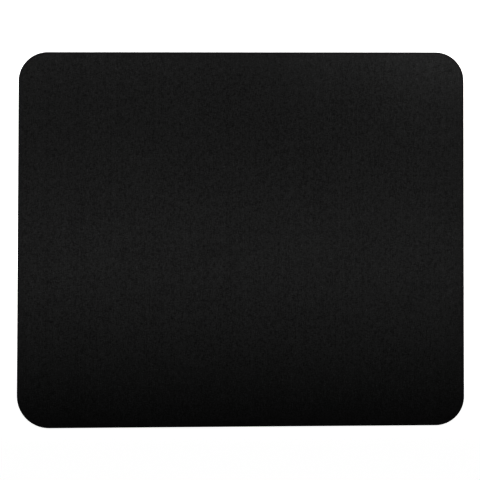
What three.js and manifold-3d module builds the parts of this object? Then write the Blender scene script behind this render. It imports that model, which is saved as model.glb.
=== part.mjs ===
// A cloth-topped mouse pad: woven cloth bonded to a sheet of foam rubber and die-cut to shape.
// Millimetres, +Z up. The origin is the middle of the underside, where the pad rests on the desk.
// +X runs along the longer side, and +Y points to the back edge, away from the user.
import * as THREE from 'three';
import { LoftGeometry } from 'three/addons/geometries/LoftGeometry.js';
import { mergeVertices } from 'three/addons/utils/BufferGeometryUtils.js';
import Module from 'manifold-3d';

// The blank that the die cuts.
const padWidth = 310;
const padDepth = 260;
const cornerRadius = 20;

// The layers, from the desk up.
const baseThickness = 2.5;
const filmThickness = 0.1;
const clothThickness = 0.4;

// The cut edge. The die presses the cloth's rim down into a small round before it shears it, and
// the squeezed foam springs back with its wall drawn in a little at mid height.
const rimRound = 0.25;
const wallDish = 0.15;

// The non-slip tread embossed into the underside: zigzag ribs with flat crowns, set apart by V grooves.
const treadPitch = 8;
const zigLength = 20;
const zigSwing = 5.5;
const grooveWidth = 3;
const grooveDepth = 0.35;

// How far a cutting solid runs past the surface that it cuts.
const cutOverrun = 0.2;

// How finely the curves are faceted.
const cornerSteps = 14;
const wallSteps = 4;
const rimSteps = 4;

// The four corners of the blank, anticlockwise from the back right: their sides of the middle.
const corners = [[1, 1], [-1, 1], [-1, -1], [1, -1]];

// The die line at height z, drawn in by inset: four quarter circles joined by the straight sides.
function dieLine(inset, z) {
  const radius = cornerRadius - inset;
  const points = [];
  corners.forEach(([sideX, sideY], quarter) => {
    const centreX = sideX * (padWidth / 2 - cornerRadius);
    const centreY = sideY * (padDepth / 2 - cornerRadius);
    for (let step = 0; step <= cornerSteps; step++) {
      const angle = (quarter + step / cornerSteps) * Math.PI / 2;
      const x = centreX + radius * Math.cos(angle);
      const y = centreY + radius * Math.sin(angle);
      points.push(new THREE.Vector3(x, y, z));
    }
  });
  return points;
}

// A closed solid through its sections, from the first one to the last.
function loft(sections) {
  return new LoftGeometry(sections, { capStart: true, capEnd: true });
}

// The foam sheet before its tread, with the dished wall as a parabola over its height.
function foamBlank() {
  const sections = [];
  for (let step = 0; step <= wallSteps; step++) {
    const up = step / wallSteps;
    const inset = wallDish * (1 - (2 * up - 1) ** 2);
    sections.push(dieLine(inset, up * baseThickness));
  }
  return loft(sections);
}

// The bonding film fills the joint between foam and cloth out to the cut edge.
function bondingFilm() {
  return loft([dieLine(0, 0), dieLine(0, filmThickness)]);
}

// The cloth, with a straight lower edge and a quarter round along its upper one.
function clothSheet() {
  const sections = [dieLine(0, 0)];
  for (let step = 0; step <= rimSteps; step++) {
    const angle = step / rimSteps * Math.PI / 2;
    const inset = rimRound * (1 - Math.cos(angle));
    sections.push(dieLine(inset, clothThickness - rimRound * (1 - Math.sin(angle))));
  }
  return loft(sections);
}

// One V groove of the tread, as the solid that cuts it. It runs along X past both sides of the pad,
// and swings from side to side about the line y = middle, crossing it at x = 0.
function grooveCutter(middle) {
  const halfZig = zigLength / 2;
  const zigsPerSide = Math.ceil((padWidth / 2 + cutOverrun) / halfZig);
  const openHalf = grooveWidth / 2 * (1 + cutOverrun / grooveDepth);
  const sections = [];
  for (let turn = -zigsPerSide; turn <= zigsPerSide + 1; turn++) {
    const x = (turn - 1 / 2) * halfZig;
    const y = middle + (turn % 2 === 0 ? -1 : 1) * zigSwing / 2;
    sections.push([
      new THREE.Vector3(x, y + openHalf, -cutOverrun),
      new THREE.Vector3(x, y, grooveDepth),
      new THREE.Vector3(x, y - openHalf, -cutOverrun),
    ]);
  }
  return loft(sections);
}

// The lines that the grooves follow, half a pitch off the middle so that the pad is centred on a rib.
function grooveMiddles() {
  const reach = padDepth / 2 + zigSwing / 2 + grooveWidth / 2;
  const perSide = Math.ceil(reach / treadPitch - 1 / 2);
  const middles = [];
  for (let line = -perSide; line < perSide; line++) {
    middles.push((line + 1 / 2) * treadPitch);
  }
  return middles;
}

const wasm = await Module();
wasm.setup();

// A closed geometry as a solid that can be cut, with each of its points held once.
function toSolid(geometry) {
  const points = new THREE.BufferGeometry();
  points.setAttribute('position', geometry.getAttribute('position'));
  points.setIndex(geometry.getIndex());
  const merged = mergeVertices(points);
  return new wasm.Manifold(new wasm.Mesh({
    numProp: 3,
    vertProperties: merged.getAttribute('position').array,
    triVerts: new Uint32Array(merged.getIndex().array),
  }));
}

// A cut solid as a geometry again.
function toGeometry(solid) {
  const mesh = solid.getMesh();
  const geometry = new THREE.BufferGeometry();
  geometry.setAttribute('position', new THREE.BufferAttribute(mesh.vertProperties, mesh.numProp));
  geometry.setIndex(new THREE.BufferAttribute(mesh.triVerts, 1));
  geometry.computeVertexNormals();
  return geometry;
}

// The foam sheet with every groove of the tread cut into its underside.
function treadedBase() {
  const cut = grooveMiddles().reduce(
    (solid, middle) => solid.subtract(toSolid(grooveCutter(middle))),
    toSolid(foamBlank()),
  );
  return toGeometry(cut);
}

// The finish of each layer.
const foamRubber = new THREE.MeshStandardMaterial({ color: 0x2b2b2c, roughness: 0.8, metalness: 0 });
const setAdhesive = new THREE.MeshStandardMaterial({ color: 0x2b2b2d, roughness: 0.45, metalness: 0 });
const wovenCloth = new THREE.MeshStandardMaterial({ color: 0x181818, roughness: 0.95, metalness: 0 });

// A named piece of the laminate, with its lower face at the given height.
function piece(name, geometry, material, height) {
  const mesh = new THREE.Mesh(geometry, material);
  mesh.name = name;
  mesh.position.z = height;
  return mesh;
}

const pad = new THREE.Group();
pad.name = 'mouse_pad';
pad.add(
  piece('rubber_base', treadedBase(), foamRubber, 0),
  piece('adhesive_film', bondingFilm(), setAdhesive, baseThickness),
  piece('cloth_surface', clothSheet(), wovenCloth, baseThickness + filmThickness),
);

export default pad;
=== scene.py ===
"""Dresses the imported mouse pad: woven cloth, bonding film and treaded foam rubber, in a plain studio."""
import math

import bmesh
import bpy
from bpy.props import FloatProperty, FloatVectorProperty, IntProperty, PointerProperty
from bpy.types import Operator, Panel, PropertyGroup
from mathutils import Matrix, Vector


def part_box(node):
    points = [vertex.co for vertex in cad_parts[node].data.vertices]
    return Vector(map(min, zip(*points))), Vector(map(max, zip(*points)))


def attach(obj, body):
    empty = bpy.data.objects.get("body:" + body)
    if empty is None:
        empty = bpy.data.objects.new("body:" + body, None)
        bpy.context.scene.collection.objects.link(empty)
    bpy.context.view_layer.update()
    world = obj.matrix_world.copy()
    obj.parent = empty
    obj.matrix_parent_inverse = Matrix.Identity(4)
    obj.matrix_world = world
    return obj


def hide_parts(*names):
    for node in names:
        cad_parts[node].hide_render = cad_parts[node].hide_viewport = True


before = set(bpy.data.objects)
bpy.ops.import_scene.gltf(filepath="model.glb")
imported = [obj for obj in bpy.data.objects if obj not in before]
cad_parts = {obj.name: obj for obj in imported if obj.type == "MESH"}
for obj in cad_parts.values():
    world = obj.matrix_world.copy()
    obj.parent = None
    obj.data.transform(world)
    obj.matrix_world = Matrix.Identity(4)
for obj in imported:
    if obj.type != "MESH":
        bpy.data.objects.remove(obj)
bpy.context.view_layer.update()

bl_info = {
    "name": "Cloth Mouse Pad",
    "version": (1, 0, 0),
    "blender": (4, 5, 0),
    "location": "View3D > Sidebar > Mouse Pad",
    "description": "Makes a cloth-topped mouse pad from its layers and lights it in a plain studio",
    "category": "Object",
}

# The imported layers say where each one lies. They share one outline, centred on the origin.
FOAM_LOW, FOAM_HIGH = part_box("rubber_base")
FILM_LOW, FILM_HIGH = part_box("adhesive_film")
CLOTH_LOW, CLOTH_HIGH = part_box("cloth_surface")
HALF_WIDTH = CLOTH_HIGH.x
HALF_DEPTH = CLOTH_HIGH.y
FOAM_THICKNESS = FOAM_HIGH.z - FOAM_LOW.z

# Cuts closer than this to a point go through it.
TOUCH = 1e-7

# Points closer than this to each other are one point.
SAME_POINT = 1e-6

# How far a cutting solid runs past what it cuts.
OVERRUN = 0.001

# Edges across which the surface turns by more than this stay sharp.
SHARP_TURN = math.radians(35)

# A line that turns by less than this runs straight on.
STRAIGHT_TURN = math.radians(5)

# The slow waves are this much longer from front to back, and start this far along, in radians.
WAVE_STRETCH = 1.25
WAVE_START = (0.7, -0.4)

# How steeply a corner curls up: the power of the nearness to it.
CURL_POWER = 4

# The attribute that says how near to its cut edge a point of the cloth lies. The cloth's colour reads it
# for painted shade along that edge.
RIM = "rim"

# The soft boxes shine straight down in narrow beams. Each one has its size, the place on the floor
# that it hangs over, its power in watts, and its beam, which is the radius that the light of one
# point of the box reaches on the floor.
SOFT_BOXES = {
    "key": {
        "shape": "RECTANGLE",
        "size": (0.47, 0.01),
        "power": 0.182,
        "beam": 0.1277,
        "over": (0, -0.0144),
    },
    "back": {
        "shape": "RECTANGLE",
        "size": (0.8, 0.19),
        "power": 0.77,
        "beam": 0.1775,
        "over": (0, 0.204),
    },
    "corner": {
        "shape": "DISK",
        "size": (0.129, 0.129),
        "power": 0.285,
        "beam": 0.1706,
        "over": (0.180, 0.244),
    },
}


class PadForm(PropertyGroup):
    """The outline of the pad and how it lies, which its layers share"""

    corner_radius: FloatProperty(
        name="Corner Radius",
        description="Radius of the corners of the die",
        default=0.020,
        unit="LENGTH",
    )
    slack_radius: FloatProperty(
        name="Front Left Radius",
        description="Radius of the front left corner, where the sheet crept in the die",
        default=0.0225,
        unit="LENGTH",
    )
    corner_steps: IntProperty(
        name="Corner Steps",
        description="Facets round each corner",
        default=20,
    )
    cell: FloatProperty(
        name="Cell",
        description="Spacing of the grid that each layer is cut into, so that it can bend",
        default=0.004,
        unit="LENGTH",
    )
    back_left_creep: FloatVectorProperty(
        name="Back Left Creep",
        description="How far this corner lies from where the die has it",
        size=2,
        default=(0.0006, -0.0003),
        unit="LENGTH",
    )
    back_right_creep: FloatVectorProperty(
        name="Back Right Creep",
        description="How far this corner lies from where the die has it",
        size=2,
        default=(0.0003, 0.0006),
        unit="LENGTH",
    )
    front_left_creep: FloatVectorProperty(
        name="Front Left Creep",
        description="How far this corner lies from where the die has it",
        size=2,
        default=(-0.0005, -0.0005),
        unit="LENGTH",
    )
    front_right_creep: FloatVectorProperty(
        name="Front Right Creep",
        description="How far this corner lies from where the die has it",
        size=2,
        default=(-0.0003, 0.0005),
        unit="LENGTH",
    )
    wave_height: FloatProperty(
        name="Wave Height",
        description="How far the pad rises from the desk between the places where it touches",
        default=0.00025,
        precision=5,
        unit="LENGTH",
    )
    wave_length: FloatProperty(
        name="Wave Length",
        description="Length of the slow waves that rolling has left in the pad",
        default=0.170,
        unit="LENGTH",
    )
    corner_curl: FloatProperty(
        name="Corner Curl",
        description="How far the corners curl off the desk",
        default=0.0004,
        precision=5,
        unit="LENGTH",
    )


class ClothLook(PropertyGroup):
    """The cloth, its weave and its cut edge"""

    yarn_pitch: FloatProperty(
        name="Yarn Pitch",
        description="Distance from one yarn to the next",
        default=0.00045,
        precision=5,
        unit="LENGTH",
    )
    weave_relief: FloatProperty(
        name="Weave Relief",
        description="Height of the yarns' crowns over the gaps between them",
        default=0.000025,
        precision=6,
        unit="LENGTH",
    )
    rim_round: FloatProperty(
        name="Rim Round",
        description="Round along the upper edge, where the die pressed the cloth before it cut",
        default=0.00025,
        precision=5,
        unit="LENGTH",
    )
    round_steps: IntProperty(
        name="Round Steps",
        description="Facets across the round along the upper edge",
        default=4,
    )
    rim_pinch: FloatProperty(
        name="Rim Pinch",
        description="How far the cloth's face dips along the cut edge",
        default=0.00012,
        precision=5,
        unit="LENGTH",
    )
    rim_width: FloatProperty(
        name="Rim Width",
        description="Width of the strip that dips",
        default=0.0024,
        precision=4,
        unit="LENGTH",
    )
    rim_steps: IntProperty(
        name="Rim Steps",
        description="Rows of faces across the strip that dips",
        default=4,
    )
    colour: FloatVectorProperty(
        name="Yarn Colour",
        description="Colour of the dyed yarn",
        subtype="COLOR",
        size=3,
        default=(0.0095, 0.0095, 0.0095),
    )


class TreadForm(PropertyGroup):
    """The foam's cut wall and the tread embossed into its underside"""

    pitch: FloatProperty(
        name="Tread Pitch",
        description="Distance from one groove to the next",
        default=0.008,
        unit="LENGTH",
    )
    zig_length: FloatProperty(
        name="Zig Length",
        description="Length of one full swing of a groove to both sides",
        default=0.020,
        unit="LENGTH",
    )
    zig_swing: FloatProperty(
        name="Zig Swing",
        description="Distance across which a groove swings",
        default=0.0055,
        unit="LENGTH",
    )
    zig_steps: IntProperty(
        name="Zig Steps",
        description="Straight pieces that make up one full swing",
        default=10,
    )
    groove_width: FloatProperty(
        name="Groove Width",
        description="Width of a groove at its mouth",
        default=0.003,
        unit="LENGTH",
    )
    groove_depth: FloatProperty(
        name="Groove Depth",
        description="Depth of a groove",
        default=0.00035,
        precision=5,
        unit="LENGTH",
    )
    mould_round: FloatProperty(
        name="Mould Round",
        description="How far the rounds along the ribs and in the grooves reach from the sharp line",
        default=0.0006,
        precision=5,
        unit="LENGTH",
    )
    mould_steps: IntProperty(
        name="Mould Steps",
        description="Facets across each of these rounds",
        default=3,
    )
    wall_dish: FloatProperty(
        name="Wall Dish",
        description="How far the cut wall is drawn in at mid height",
        default=0.00015,
        precision=5,
        unit="LENGTH",
    )
    wall_steps: IntProperty(
        name="Wall Steps",
        description="Rows of faces up the cut wall",
        default=4,
    )
    colour: FloatVectorProperty(
        name="Foam Colour",
        description="Colour of the foam rubber",
        subtype="COLOR",
        size=3,
        default=(0.024, 0.024, 0.0245),
    )


class FilmForm(PropertyGroup):
    """The film that bonds the cloth to the foam"""

    bead: FloatProperty(
        name="Bead",
        description="How far the film bulges out of the joint",
        default=0.00003,
        precision=5,
        unit="LENGTH",
    )
    bead_steps: IntProperty(
        name="Bead Steps",
        description="Rows of faces up the bead",
        default=4,
    )
    colour: FloatVectorProperty(
        name="Film Colour",
        description="Colour of the set adhesive",
        subtype="COLOR",
        size=3,
        default=(0.024, 0.024, 0.026),
    )


class StageLook(PropertyGroup):
    """The camera, the lamps and the floor"""

    camera_distance: FloatProperty(
        name="Camera Distance",
        description="Distance from the camera to the point that it looks at",
        default=1.0,
        unit="LENGTH",
    )
    camera_lens: FloatProperty(
        name="Lens",
        description="Focal length on a sensor 36 mm wide",
        default=108.04,
        unit="CAMERA",
    )
    camera_tilt: FloatVectorProperty(
        name="Camera Tilt",
        description="How far the camera leans from straight above, to the right and to the back",
        size=2,
        default=(math.radians(-1.81), math.radians(-1.0)),
        unit="ROTATION",
    )
    camera_roll: FloatProperty(
        name="Camera Roll",
        description="Turn of the camera about its line of sight",
        default=math.radians(0.065),
        unit="ROTATION",
    )
    camera_aim: FloatVectorProperty(
        name="Camera Aim",
        description="The point on the cloth that the camera looks at",
        size=2,
        default=(-0.00126, -0.00061),
        precision=5,
        unit="LENGTH",
    )
    lamp_height: FloatProperty(
        name="Lamp Height",
        description="Height at which the soft boxes hang over the floor",
        default=0.8,
        unit="LENGTH",
    )
    lamp_level: FloatProperty(
        name="Lamp Level",
        description="Brightness of the soft boxes together",
        default=1.0,
    )
    ambient: FloatProperty(
        name="Ambient",
        description="Strength of the even light from all round",
        default=0.12,
    )
    floor_reach: FloatProperty(
        name="Floor Reach",
        description="How far the floor runs from the middle of the pad to each side",
        default=4.0,
        unit="LENGTH",
    )
    floor_gap: FloatProperty(
        name="Floor Gap",
        description="How far the floor lies below the pad, so that the two don't touch",
        default=0.0001,
        precision=5,
        unit="LENGTH",
    )
    floor_colour: FloatVectorProperty(
        name="Floor Colour",
        description="Colour of the floor where light falls on it",
        subtype="COLOR",
        size=3,
        default=(0.8, 0.8, 0.8),
    )
    floor_glow: FloatProperty(
        name="Floor Glow",
        description="How much white the floor adds where it is seen, without lighting the pad",
        default=0.9,
    )


# The outline, and how the layers are cut and lie.


def corner_radius(form, x, y):
    """Radius of the corner in this quarter of the pad."""
    return form.slack_radius if x < 0 and y < 0 else form.corner_radius


def die_outline(bm, form, height):
    """Adds the outline that the die cuts, as one face at that height, and returns the face."""
    corners = bmesh.ops.create_grid(bm, x_segments=1, y_segments=1, size=1)["verts"]
    bmesh.ops.scale(bm, vec=(HALF_WIDTH, HALF_DEPTH, 1), verts=corners)
    bmesh.ops.translate(bm, vec=(0, 0, height), verts=corners)
    for corner in corners:
        bmesh.ops.bevel(
            bm,
            geom=[corner],
            offset=corner_radius(form, corner.co.x, corner.co.y),
            offset_type="OFFSET",
            segments=form.corner_steps,
            profile=0.5,
            affect="VERTICES",
            material=-1,
        )
    bm.faces.ensure_lookup_table()
    return bm.faces[0]


def face_at(bm, height):
    """The face that lies wholly at a height."""
    for face in bm.faces:
        if all(abs(vert.co.z - height) < TOUCH for vert in face.verts):
            return face
    raise ValueError(f"no face lies at {height}")


def sweep(bm, start, moves):
    """Extrudes a face by one move after another, keeps the first and the last, and returns the last."""
    face = start
    for number, move in enumerate(moves):
        made = bmesh.ops.extrude_face_region(bm, geom=[face])["geom"]
        points = [part for part in made if isinstance(part, bmesh.types.BMVert)]
        bmesh.ops.translate(bm, vec=move, verts=points)
        if number > 0:
            bmesh.ops.delete(bm, geom=[face], context="FACES_ONLY")
        face = next(part for part in made if isinstance(part, bmesh.types.BMFace))
    return face


def edge_of(form, point):
    """How far a point lies inside the outline, and the level direction out to the nearest edge."""
    radius = corner_radius(form, point.x, point.y)
    past = Vector((abs(point.x) - HALF_WIDTH + radius, abs(point.y) - HALF_DEPTH + radius))
    if past.x > 0 and past.y > 0:
        inside = radius - past.length
        out = past.normalized()
    elif past.x > past.y:
        inside = radius - past.x
        out = Vector((1, 0))
    else:
        inside = radius - past.y
        out = Vector((0, 1))
    return inside, Vector((math.copysign(out.x, point.x), math.copysign(out.y, point.y), 0))


def cut_into_cells(bm, cell):
    """Cuts all of bm along a square grid, so that it can bend."""
    for axis, half in ((Vector((1, 0, 0)), HALF_WIDTH), (Vector((0, 1, 0)), HALF_DEPTH)):
        count = round(2 * half / cell)
        for line in range(1, count):
            bmesh.ops.bisect_plane(
                bm,
                geom=bm.verts[:] + bm.edges[:] + bm.faces[:],
                dist=TOUCH,
                plane_co=axis * half * (2 * line / count - 1),
                plane_no=axis,
            )


def bulge(bm, form, low, high, reach):
    """Bows the outer wall between two heights out as far as reach, or in where reach is negative."""
    for vert in bm.verts:
        up = (vert.co.z - low) / (high - low)
        inside, out = edge_of(form, vert.co)
        if 0 < up < 1 and inside < SAME_POINT:
            vert.co += out * reach * (1 - (2 * up - 1) ** 2)


def settle(bm, form):
    """Moves every point to where it lies at rest: crept corners, slow waves and curled corners."""
    turn = 2 * math.pi / form.wave_length
    for vert in bm.verts:
        x, y = vert.co.x, vert.co.y
        right = (1 + x / HALF_WIDTH) / 2
        back = (1 + y / HALF_DEPTH) / 2
        front_creep = Vector(form.front_left_creep).lerp(Vector(form.front_right_creep), right)
        back_creep = Vector(form.back_left_creep).lerp(Vector(form.back_right_creep), right)
        creep = front_creep.lerp(back_creep, back)
        across = math.sin(turn * x + WAVE_START[0])
        along = math.cos(turn * y / WAVE_STRETCH + WAVE_START[1])
        wave = form.wave_height * (1 + across * along) / 2
        curl = form.corner_curl * (abs(x) / HALF_WIDTH * abs(y) / HALF_DEPTH) ** CURL_POWER
        vert.co += Vector((creep.x, creep.y, wave + curl))


def to_object(bm, name, material):
    """Turns a bmesh into a smooth-shaded object whose sharp edges stay sharp."""
    mesh = bpy.data.meshes.new(name)
    bm.to_mesh(mesh)
    bm.free()
    for face in mesh.polygons:
        face.use_smooth = True
    mesh.set_sharp_from_angle(angle=SHARP_TURN)
    mesh.materials.append(material)
    made = bpy.data.objects.new(name, mesh)
    bpy.context.scene.collection.objects.link(made)
    return made


def add_piece(bm, name, material, stands_for):
    """Turns a bmesh into a piece of the pad, in place of a packed layer."""
    bmesh.ops.recalc_face_normals(bm, faces=bm.faces)
    piece = to_object(bm, name, material)
    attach(piece, "root")
    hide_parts(stands_for)
    return piece


# The shader groups and materials.


class Nodes:
    """Adds nodes to a tree and wires them up."""

    def __init__(self, tree):
        self.tree = tree

    def fill(self, socket, value):
        """Links an output to a socket, or sets the socket to a value."""
        if isinstance(value, bpy.types.NodeSocket):
            self.tree.links.new(value, socket)
        else:
            socket.default_value = value

    def add(self, kind, inputs=None, **settings):
        """Adds a node, sets it up, and fills its inputs."""
        node = self.tree.nodes.new("ShaderNode" + kind)
        for name, value in settings.items():
            setattr(node, name, value)
        for key, value in (inputs or {}).items():
            self.fill(node.inputs[key], value)
        return node

    def math(self, operation, *values):
        """The output of a Math node."""
        return self.add("Math", dict(enumerate(values)), operation=operation).outputs[0]

    def vector(self, operation, *values):
        """The output of a Vector Math node."""
        return self.add("VectorMath", dict(enumerate(values)), operation=operation).outputs[0]

    def scale(self, vector, factor):
        """A vector or a colour times a number."""
        node = self.add("VectorMath", {0: vector, "Scale": factor}, operation="SCALE")
        return node.outputs[0]

    def product(self, first, *others):
        """Several numbers multiplied together."""
        result = first
        for other in others:
            result = self.math("MULTIPLY", result, other)
        return result

    def blend(self, share, low, high):
        """A number that runs from low to high as share runs from 0 to 1."""
        node = self.add("Mix", {"Factor": share, "A": low, "B": high}, data_type="FLOAT")
        return node.outputs["Result"]

    def group(self, name, **inputs):
        """A shader group's node, with its inputs filled. The group is built where it is first used."""
        if name not in bpy.data.node_groups:
            SHADER_GROUPS[name](name)
        node = self.add("Group", node_tree=bpy.data.node_groups[name])
        for key, value in inputs.items():
            self.fill(node.inputs[key], value)
        return node


def new_group(name, inputs, outputs):
    """Starts a shader group, and returns its node maker, its inputs and its results."""
    tree = bpy.data.node_groups.new(name, "ShaderNodeTree")
    for socket, value in inputs.items():
        kind = "NodeSocketVector" if value is None else "NodeSocketFloat"
        made = tree.interface.new_socket(socket, in_out="INPUT", socket_type=kind)
        if value is not None:
            made.default_value = value
    for socket in outputs:
        tree.interface.new_socket(socket, in_out="OUTPUT", socket_type="NodeSocketFloat")
    given = tree.nodes.new("NodeGroupInput").outputs
    result = tree.nodes.new("NodeGroupOutput").inputs
    return Nodes(tree), given, result


# A noise runs from 0 to 1, and most of it lies within this reach of its middle.
NOISE_MIDDLE = 0.5
NOISE_REACH = 0.25

# The yarns of the weave wander from side to side at this rate, counted in crossings.
WANDER_RATE = 0.06

# Height at which a float comes up from under the crossing yarn, against 1 at its middle.
FLOAT_END = 0.45

# The tones of the weft, which is dyed more evenly than the warp, and where in the noise they start.
WEFT_TONES = (0.3, 0.7)
WEFT_START = 5000.5

# How far apart neighbouring yarns read the noise that gives their slubs.
LANE_STEP = 7.31

# Depth between the pebbles of a moulded skin, and the rate and height of the finer grain on them.
PEBBLE_DEPTH = 0.8
GRAIN_RATE = 2.3
GRAIN_HEIGHT = 0.35


def plain_weave(name):
    """Plain weave: its height, and the tone of each float, of each yarn and of each slub."""
    make, given, result = new_group(
        name,
        {"Vector": None, "Pitch": 0.00045, "Wander": 0.3, "Weft Slub": 5.0, "Warp Slub": 7.0},
        ("Height", "Float", "Yarn", "Slub"),
    )
    steps = make.vector("DIVIDE", given["Vector"], given["Pitch"])
    drift = make.add("TexNoise", {"Vector": steps, "Scale": WANDER_RATE, "Detail": 1.0})
    centred = make.vector("SUBTRACT", drift.outputs["Color"], [NOISE_MIDDLE] * 3)
    place = make.vector("ADD", steps, make.scale(centred, given["Wander"]))
    across = make.add("SeparateXYZ", {0: place}).outputs
    warp, weft = across["X"], across["Y"]
    warp_dome = make.math("ABSOLUTE", make.math("SINE", make.math("MULTIPLY", warp, math.pi)))
    weft_dome = make.math("ABSOLUTE", make.math("SINE", make.math("MULTIPLY", weft, math.pi)))
    warp_count = make.math("FLOOR", warp)
    weft_count = make.math("FLOOR", weft)
    warp_up = make.math("FLOORED_MODULO", make.math("ADD", warp_count, weft_count), 2.0)

    def crown(across_dome, along_dome):
        """Height of a float: round across the yarn, and arched along it."""
        arch = make.blend(along_dome, FLOAT_END, 1.0)
        return make.math("MULTIPLY", make.math("SQRT", across_dome), arch)

    height = make.blend(warp_up, crown(weft_dome, warp_dome), crown(warp_dome, weft_dome))
    make.fill(result["Height"], height)
    crossing = make.add("CombineXYZ", {"X": warp_count, "Y": weft_count}).outputs[0]
    float_tone = make.add("TexWhiteNoise", {"Vector": crossing}, noise_dimensions="2D")
    make.fill(result["Float"], float_tone.outputs["Value"])
    warp_tone = make.add("TexWhiteNoise", {"W": warp_count}, noise_dimensions="1D")
    weft_key = make.math("ADD", weft_count, WEFT_START)
    weft_tone = make.add("TexWhiteNoise", {"W": weft_key}, noise_dimensions="1D")
    even_weft = make.blend(weft_tone.outputs["Value"], *WEFT_TONES)
    make.fill(result["Yarn"], make.blend(warp_up, even_weft, warp_tone.outputs["Value"]))

    def slubs(count, along, length):
        """Thick and thin places, each as long as so many crossings, on every yarn its own."""
        lane = make.math("MULTIPLY", count, LANE_STEP)
        spot = make.add("CombineXYZ", {"X": lane, "Y": make.math("DIVIDE", along, length)})
        noise = {"Vector": spot.outputs[0], "Scale": 1.0, "Detail": 0.0}
        return make.add("TexNoise", noise, noise_dimensions="2D").outputs["Fac"]

    weft_slub = slubs(weft_count, warp, given["Weft Slub"])
    warp_slub = slubs(warp_count, weft, given["Warp Slub"])
    make.fill(result["Slub"], make.blend(warp_up, weft_slub, warp_slub))


def slow_mottle(name):
    """Slow unevenness of a dyed or moulded material, as a factor on its colour."""
    inputs = {"Vector": None, "Size": 0.03, "Swing": 0.1}
    make, given, result = new_group(name, inputs, ("Factor",))
    place = make.vector("DIVIDE", given["Vector"], given["Size"])
    noise = make.add("TexNoise", {"Vector": place, "Scale": 1.0, "Detail": 3.0}).outputs["Fac"]
    centred = make.math("SUBTRACT", noise, NOISE_MIDDLE)
    swing = make.math("DIVIDE", centred, NOISE_REACH)
    make.fill(result["Factor"], make.math("MULTIPLY_ADD", swing, given["Swing"], 1.0))


def moulded_skin(name):
    """Moulded skin: a fine pebbled height."""
    make, given, result = new_group(name, {"Vector": None, "Size": 0.0004}, ("Height",))
    place = make.vector("DIVIDE", given["Vector"], given["Size"])
    pebbles = make.add("TexVoronoi", {"Vector": place, "Scale": 1.0}, feature="SMOOTH_F1")
    low = make.math("MULTIPLY", pebbles.outputs["Distance"], -PEBBLE_DEPTH)
    grain = make.add("TexNoise", {"Vector": place, "Scale": GRAIN_RATE, "Detail": 2.0})
    height = make.math("MULTIPLY_ADD", grain.outputs["Fac"], GRAIN_HEIGHT, low)
    make.fill(result["Height"], height)


def sliced_cells(name):
    """Closed foam cells, sliced open: how deep each place in the cut is, up to 1."""
    inputs = {"Vector": None, "Size": 0.0003, "Openness": 0.5}
    make, given, result = new_group(name, inputs, ("Depth",))
    place = make.vector("DIVIDE", given["Vector"], given["Size"])
    cells = make.add("TexVoronoi", {"Vector": place, "Scale": 1.0, "Randomness": 0.9})
    bowl = make.math("SUBTRACT", given["Openness"], cells.outputs["Distance"])
    depth = make.math("MAXIMUM", make.math("DIVIDE", bowl, given["Openness"]), 0.0)
    make.fill(result["Depth"], depth)


SHADER_GROUPS = {
    "Plain Weave": plain_weave,
    "Slow Mottle": slow_mottle,
    "Moulded Skin": moulded_skin,
    "Sliced Cells": sliced_cells,
}


def new_material(name, roughness, specular):
    """A fresh material, with its node maker and its shader."""
    material = bpy.data.materials.new(name)
    material.use_nodes = True
    shader = material.node_tree.nodes["Principled BSDF"].inputs
    shader["Roughness"].default_value = roughness
    shader["Specular IOR Level"].default_value = specular
    return material, Nodes(material.node_tree), shader


# What the colour of the yarn is multiplied by: painted shade in the gaps and painted light on the crowns,
# from the darkest float to the lightest, which is random tone and partly painted glints, the same for
# whole yarns, from thin slubs to thick ones, and painted shade along the cut edge.
PAINTED_GAP_SHADE_AND_CROWN_LIGHT = (0.6, 1.2)
FLOAT_TONES_AND_GLINTS = (0.76, 1.48)
YARN_SHADES = (0.85, 1.15)
SLUB_SHADES = (0.075, 1.925)
RIM_PAINTED_SHADE = 0.45

# What the colour of the foam is multiplied by at the bottom of an open cell: painted shade in its hollow.
CELL_PAINTED_SHADE = 0.45

# Height of the foam's pebbled skin, against the depth of an open cell.
SKIN_HEIGHT = 0.3

# A face belongs to the foam's cut wall where its normal rises or falls less than this.
WALL_RISE = 0.5


def cloth_material(look):
    """Black polyester: light and dark floats of yarn, partly painted glints, painted shade in the gaps and
    painted light on the crowns, painted shade along the cut edge, and a soft bloom at low angles.
    """
    material, make, shader = new_material("black_polyester", roughness=0.95, specular=0.02)
    place = make.add("TexCoord").outputs["Object"]
    weave = make.group("Plain Weave", Vector=place, Pitch=look.yarn_pitch).outputs
    mottle = make.group("Slow Mottle", Vector=place, Size=0.035, Swing=0.05).outputs[0]
    rim = make.add("Attribute", attribute_name=RIM).outputs["Fac"]
    shade = make.product(
        # Painted shade: darker towards the cut edge, where the pressed, rounded edge turns away from the
        # lamps.
        make.blend(rim, 1.0, RIM_PAINTED_SHADE),
        # Painted shade in the gaps between the yarns and painted light on their crowns, by the weave's
        # height.
        make.blend(weave["Height"], *PAINTED_GAP_SHADE_AND_CROWN_LIGHT),
        # Random tone of each float, and partly painted glints on the rare lightest floats.
        make.blend(make.product(weave["Float"], weave["Float"]), *FLOAT_TONES_AND_GLINTS),
        make.blend(weave["Yarn"], *YARN_SHADES),
        make.blend(weave["Slub"], *SLUB_SHADES),
        mottle,
    )
    make.fill(shader["Base Color"], make.scale(tuple(look.colour), shade))
    shader["Sheen Weight"].default_value = 0.3
    shader["Sheen Roughness"].default_value = 0.3
    bump = make.add("Bump", {"Height": weave["Height"], "Distance": look.weave_relief})
    make.fill(shader["Normal"], bump.outputs[0])
    return material


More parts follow.
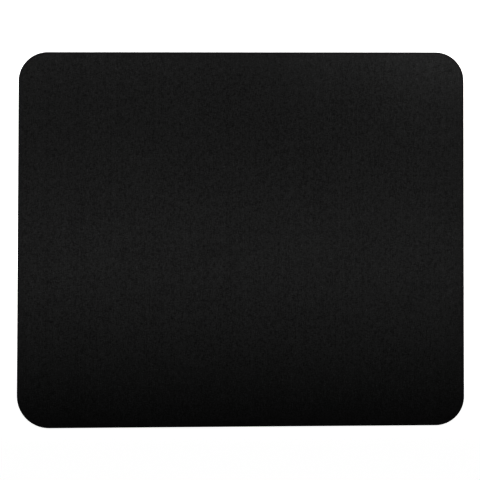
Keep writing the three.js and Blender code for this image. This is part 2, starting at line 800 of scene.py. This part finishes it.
def film_material(film):
    """Set adhesive: smoother than the layers that it bonds."""
    material, make, shader = new_material("dark_adhesive", roughness=0.4, specular=0.3)
    place = make.add("TexCoord").outputs["Object"]
    mottle = make.group("Slow Mottle", Vector=place, Size=0.004, Swing=0.15).outputs[0]
    make.fill(shader["Base Color"], make.scale(tuple(film.colour), mottle))
    skin = make.group("Moulded Skin", Vector=place, Size=0.0006).outputs[0]
    bump = make.add("Bump", {"Height": skin, "Distance": 0.00001, "Strength": 0.6})
    make.fill(shader["Normal"], bump.outputs[0])
    return material


def foam_material(tread):
    """Foam rubber: a pebbled skin below, and cells sliced open along the cut wall, with painted shade in
    the open cells.
    """
    material, make, shader = new_material("moulded_foam", roughness=0.8, specular=0.25)
    coordinates = make.add("TexCoord").outputs
    place = coordinates["Object"]
    rise = make.add("SeparateXYZ", {0: coordinates["Normal"]}).outputs["Z"]
    wall = make.math("LESS_THAN", make.math("ABSOLUTE", rise), WALL_RISE)
    cells = make.group("Sliced Cells", Vector=place, Size=0.00028).outputs[0]
    depth = make.product(cells, wall)
    mottle = make.group("Slow Mottle", Vector=place, Size=0.02, Swing=0.08).outputs[0]
    # Painted shade: darker towards the bottom of each open cell on the cut wall.
    shade = make.product(make.blend(depth, 1.0, CELL_PAINTED_SHADE), mottle)
    make.fill(shader["Base Color"], make.scale(tuple(tread.colour), shade))
    skin = make.group("Moulded Skin", Vector=place, Size=0.00045).outputs[0]
    height = make.math("SUBTRACT", make.product(skin, SKIN_HEIGHT), depth)
    bump = make.add("Bump", {"Height": height, "Distance": 0.00006, "Strength": 0.8})
    make.fill(shader["Normal"], bump.outputs[0])
    return material


# The foam base.


def tread_profile(bm, tread, reach_x, ribs):
    """Adds the foam's section across X as one face: the embossed tread below, the bonded side above."""
    crown = tread.pitch - tread.groove_width
    slope = tread.groove_width / 2
    moves = []
    for rib in range(ribs):
        moves += [(crown / 2, 0), (slope, tread.groove_depth)]
        moves += [(slope, -tread.groove_depth), (crown / 2, 0)]
    moves.append((0, FOAM_THICKNESS))
    moves += [(-tread.pitch, 0)] * ribs
    start = (-reach_x, -ribs * tread.pitch / 2, FOAM_LOW.z)
    first = bmesh.ops.create_vert(bm, co=start)["vert"][0]
    last = first
    for across, up in moves:
        last = bmesh.ops.extrude_vert_indiv(bm, verts=[last])["verts"][0]
        bmesh.ops.translate(bm, vec=(0, across, up), verts=[last])
    bmesh.ops.contextual_create(bm, geom=[first, last])
    bmesh.ops.contextual_create(bm, geom=bm.edges[:])


def round_profile(bm, tread):
    """Rounds the bends of the section below, along which the tread's faces meet."""
    bends = []
    for vert in bm.verts:
        one, other = (edge.other_vert(vert).co - vert.co for edge in vert.link_edges)
        if vert.co.z < FOAM_HIGH.z - TOUCH and math.pi - one.angle(other) > STRAIGHT_TURN:
            bends.append(vert)
    bmesh.ops.bevel(
        bm,
        geom=bends,
        offset=tread.mould_round,
        offset_type="OFFSET",
        segments=tread.mould_steps,
        profile=0.5,
        affect="VERTICES",
        material=-1,
    )


def tread_stock(tread):
    """A slab with the tread all over its underside, swept along X in rounded zigzags."""
    step = tread.zig_length / tread.zig_steps
    steps = 2 * math.ceil((HALF_WIDTH + OVERRUN) / step)
    ribs = 2 * math.ceil((HALF_DEPTH + tread.zig_swing) / tread.pitch)
    reach_x = steps * step / 2

    def swing(x):
        """How far the grooves have swung to the back at x: the first two terms of a triangle wave."""
        turn = 2 * math.pi * x / tread.zig_length
        wave = (math.sin(turn) - math.sin(3 * turn) / 3 ** 2) * 8 / math.pi ** 2
        return wave * tread.zig_swing / 2

    bm = bmesh.new()
    tread_profile(bm, tread, reach_x, ribs)
    bmesh.ops.translate(bm, vec=(0, swing(-reach_x), 0), verts=bm.verts)
    round_profile(bm, tread)
    bm.faces.ensure_lookup_table()
    places = [number * step - reach_x for number in range(steps)]
    sweep(bm, bm.faces[0], [(step, swing(x + step) - swing(x), 0) for x in places])
    bmesh.ops.recalc_face_normals(bm, faces=bm.faces)
    return bm


def die_cutter(form, tread):
    """What the die cuts out of the stock: the outline, with the wall drawn in at mid height."""
    bm = bmesh.new()
    below = die_outline(bm, form, FOAM_LOW.z - OVERRUN)
    layer = FOAM_THICKNESS / tread.wall_steps
    rises = [OVERRUN] + [layer] * tread.wall_steps + [OVERRUN]
    sweep(bm, below, [(0, 0, rise) for rise in rises])
    cut_into_cells(bm, form.cell)
    bulge(bm, form, FOAM_LOW.z, FOAM_HIGH.z, -tread.wall_dish)
    bmesh.ops.recalc_face_normals(bm, faces=bm.faces)
    return bm


def stamp_out(stock, die):
    """Cuts the stock with the die, removes both objects and returns what was cut out."""
    cut = stock.modifiers.new("cut", "BOOLEAN")
    cut.operation = "INTERSECT"
    cut.solver = "MANIFOLD"
    cut.object = die
    evaluated = stock.evaluated_get(bpy.context.evaluated_depsgraph_get())
    bm = bmesh.new()
    bm.from_mesh(evaluated.to_mesh())
    for used in (stock, die):
        bpy.data.meshes.remove(used.data)
    bmesh.ops.remove_doubles(bm, verts=bm.verts, dist=SAME_POINT)
    return bm


class MOUSEPAD_OT_foam(Operator):
    """Make the foam rubber base, with its tread and its cut wall"""

    bl_idname = "mouse_pad.foam"
    bl_label = "Foam Base"

    def execute(self, context):
        form, tread = context.scene.pad_form, context.scene.tread_form
        material = foam_material(tread)
        stock = to_object(tread_stock(tread), "stock", material)
        die = to_object(die_cutter(form, tread), "die", material)
        bm = stamp_out(stock, die)
        settle(bm, form)
        foam = add_piece(bm, "foam_base", material, stands_for="rubber_base")
        return {"FINISHED"}


# The film and the cloth.


def film_layer(form, film):
    """The film, with the bead that bulges out of the joint."""
    bm = bmesh.new()
    below = die_outline(bm, form, FILM_LOW.z)
    layer = (FILM_HIGH.z - FILM_LOW.z) / film.bead_steps
    sweep(bm, below, [(0, 0, layer)] * film.bead_steps)
    cut_into_cells(bm, form.cell)
    bulge(bm, form, FILM_LOW.z, FILM_HIGH.z, film.bead)
    return bm


def cloth_layer(form, look):
    """The cloth, with the round along its upper edge and rows of faces along the strip that dips."""
    bm = bmesh.new()
    below = die_outline(bm, form, CLOTH_LOW.z)
    above = sweep(bm, below, [(0, 0, CLOTH_HIGH.z - CLOTH_LOW.z)])
    bmesh.ops.bevel(
        bm,
        geom=above.edges[:],
        offset=look.rim_round,
        offset_type="OFFSET",
        segments=look.round_steps,
        profile=0.5,
        affect="EDGES",
        material=-1,
    )
    above = face_at(bm, CLOTH_HIGH.z)
    row = look.rim_width / look.rim_steps
    for step in range(look.rim_steps):
        bmesh.ops.inset_region(bm, faces=[above], thickness=row, use_even_offset=True)
    cut_into_cells(bm, form.cell)
    return bm


def press_rim(bm, form, look):
    """Dips the cloth's face towards its cut edge, and notes on each point how near the edge is."""
    rim = bm.verts.layers.float.new(RIM)
    for vert in bm.verts:
        inside = max(edge_of(form, vert.co)[0], 0)
        nearness = max(1 - inside / look.rim_width, 0) ** 2
        vert[rim] = nearness
        if vert.co.z > CLOTH_LOW.z + TOUCH:
            vert.co.z -= look.rim_pinch * nearness


class MOUSEPAD_OT_film(Operator):
    """Make the film that bonds the cloth to the foam"""

    bl_idname = "mouse_pad.film"
    bl_label = "Bonding Film"

    def execute(self, context):
        form, film = context.scene.pad_form, context.scene.film_form
        bm = film_layer(form, film)
        settle(bm, form)
        add_piece(bm, "bond_line", film_material(film), stands_for="adhesive_film")
        return {"FINISHED"}


class MOUSEPAD_OT_cloth(Operator):
    """Make the woven cloth, with its pressed and cut edge"""

    bl_idname = "mouse_pad.cloth"
    bl_label = "Woven Cloth"

    def execute(self, context):
        form, look = context.scene.pad_form, context.scene.cloth_look
        bm = cloth_layer(form, look)
        press_rim(bm, form, look)
        settle(bm, form)
        cloth = add_piece(
            bm, "cloth_top", cloth_material(look), stands_for="cloth_surface"
        )
        return {"FINISHED"}


# The stage.

WHITE = (1, 1, 1, 1)

# Width of the camera's sensor, in millimetres.
SENSOR_WIDTH = 36


def shown_behind(make):
    """1 for the rays that show a background, to the camera or in a reflection, and 0 for light."""
    path = make.add("LightPath").outputs
    seen = make.math("MAXIMUM", path["Is Camera Ray"], path["Is Glossy Ray"])
    return make.math("MAXIMUM", seen, path["Is Transmission Ray"])


def add_camera(look):
    """Places the camera over the pad, leaning a little to the left and to the front."""
    data = bpy.data.cameras.new("camera")
    data.lens = look.camera_lens
    data.sensor_width = SENSOR_WIDTH
    camera = bpy.data.objects.new("camera", data)
    bpy.context.scene.collection.objects.link(camera)
    aim = Vector((*look.camera_aim, CLOTH_HIGH.z))
    to_right, to_back = look.camera_tilt
    back = Vector((math.tan(to_right), math.tan(to_back), 1)).normalized()
    up = Vector((math.sin(look.camera_roll), math.cos(look.camera_roll), 0))
    right = up.cross(back).normalized()
    turned = Matrix((right, back.cross(right), back)).transposed().to_4x4()
    camera.matrix_world = Matrix.Translation(aim + back * look.camera_distance) @ turned
    bpy.context.scene.camera = camera


def add_floor(look):
    """Lays a pale floor that shows as white and takes the pad's shadow."""
    bm = bmesh.new()
    bmesh.ops.create_grid(bm, x_segments=1, y_segments=1, size=look.floor_reach)
    bmesh.ops.translate(bm, vec=(0, 0, FOAM_LOW.z - look.floor_gap), verts=bm.verts)
    material, make, shader = new_material("white_floor", roughness=1, specular=0)
    shader["Base Color"].default_value = (*look.floor_colour, 1)
    shader["Emission Color"].default_value = WHITE
    make.fill(shader["Emission Strength"], make.product(shown_behind(make), look.floor_glow))
    to_object(bm, "floor", material)


def add_lamps(look):
    """Hangs the soft boxes, which the camera doesn't see."""
    for name, box in SOFT_BOXES.items():
        data = bpy.data.lights.new(name, "AREA")
        data.shape = box["shape"]
        data.size, data.size_y = box["size"]
        data.energy = box["power"] * look.lamp_level
        data.spread = 2 * math.atan(box["beam"] / look.lamp_height)
        lamp = bpy.data.objects.new(name, data)
        lamp.location = (*box["over"], look.lamp_height)
        lamp.visible_camera = False
        bpy.context.scene.collection.objects.link(lamp)


def add_world(look):
    """Sets the even light from all round, and the white that shows behind the floor."""
    world = bpy.data.worlds.new("studio")
    world.use_nodes = True
    make = Nodes(world.node_tree)
    background = world.node_tree.nodes["Background"].inputs
    background["Color"].default_value = WHITE
    make.fill(background["Strength"], make.blend(shown_behind(make), look.ambient, 1.0))
    bpy.context.scene.world = world


class MOUSEPAD_OT_stage(Operator):
    """Place the floor, the lamps and the camera"""

    bl_idname = "mouse_pad.stage"
    bl_label = "Stage"

    def execute(self, context):
        look = context.scene.stage_look
        add_floor(look)
        add_camera(look)
        add_lamps(look)
        add_world(look)
        context.scene.view_settings.view_transform = "Standard"
        return {"FINISHED"}


class MOUSEPAD_PT_panel(Panel):
    """Lists the operators that make the pad and its stage"""

    bl_idname = "MOUSEPAD_PT_panel"
    bl_label = "Mouse Pad"
    bl_space_type = "VIEW_3D"
    bl_region_type = "UI"
    bl_category = "Mouse Pad"

    def draw(self, context):
        for operator in OPERATORS:
            self.layout.operator(operator.bl_idname)


OPERATORS = (MOUSEPAD_OT_foam, MOUSEPAD_OT_film, MOUSEPAD_OT_cloth, MOUSEPAD_OT_stage)
GROUPS = {
    "pad_form": PadForm,
    "cloth_look": ClothLook,
    "tread_form": TreadForm,
    "film_form": FilmForm,
    "stage_look": StageLook,
}


def register():
    """Adds the classes to Blender, and their values to its scenes."""
    for each in (*GROUPS.values(), *OPERATORS, MOUSEPAD_PT_panel):
        bpy.utils.register_class(each)
    for name, group in GROUPS.items():
        setattr(bpy.types.Scene, name, PointerProperty(type=group))


def unregister():
    """Takes the values and the classes out again."""
    for name in GROUPS:
        delattr(bpy.types.Scene, name)
    for each in (MOUSEPAD_PT_panel, *OPERATORS, *GROUPS.values()):
        bpy.utils.unregister_class(each)


def main():
    """Makes the pad and its stage."""
    register()
    bpy.ops.mouse_pad.foam()
    bpy.ops.mouse_pad.film()
    bpy.ops.mouse_pad.cloth()
    bpy.ops.mouse_pad.stage()


if __name__ == "__main__":
    main()
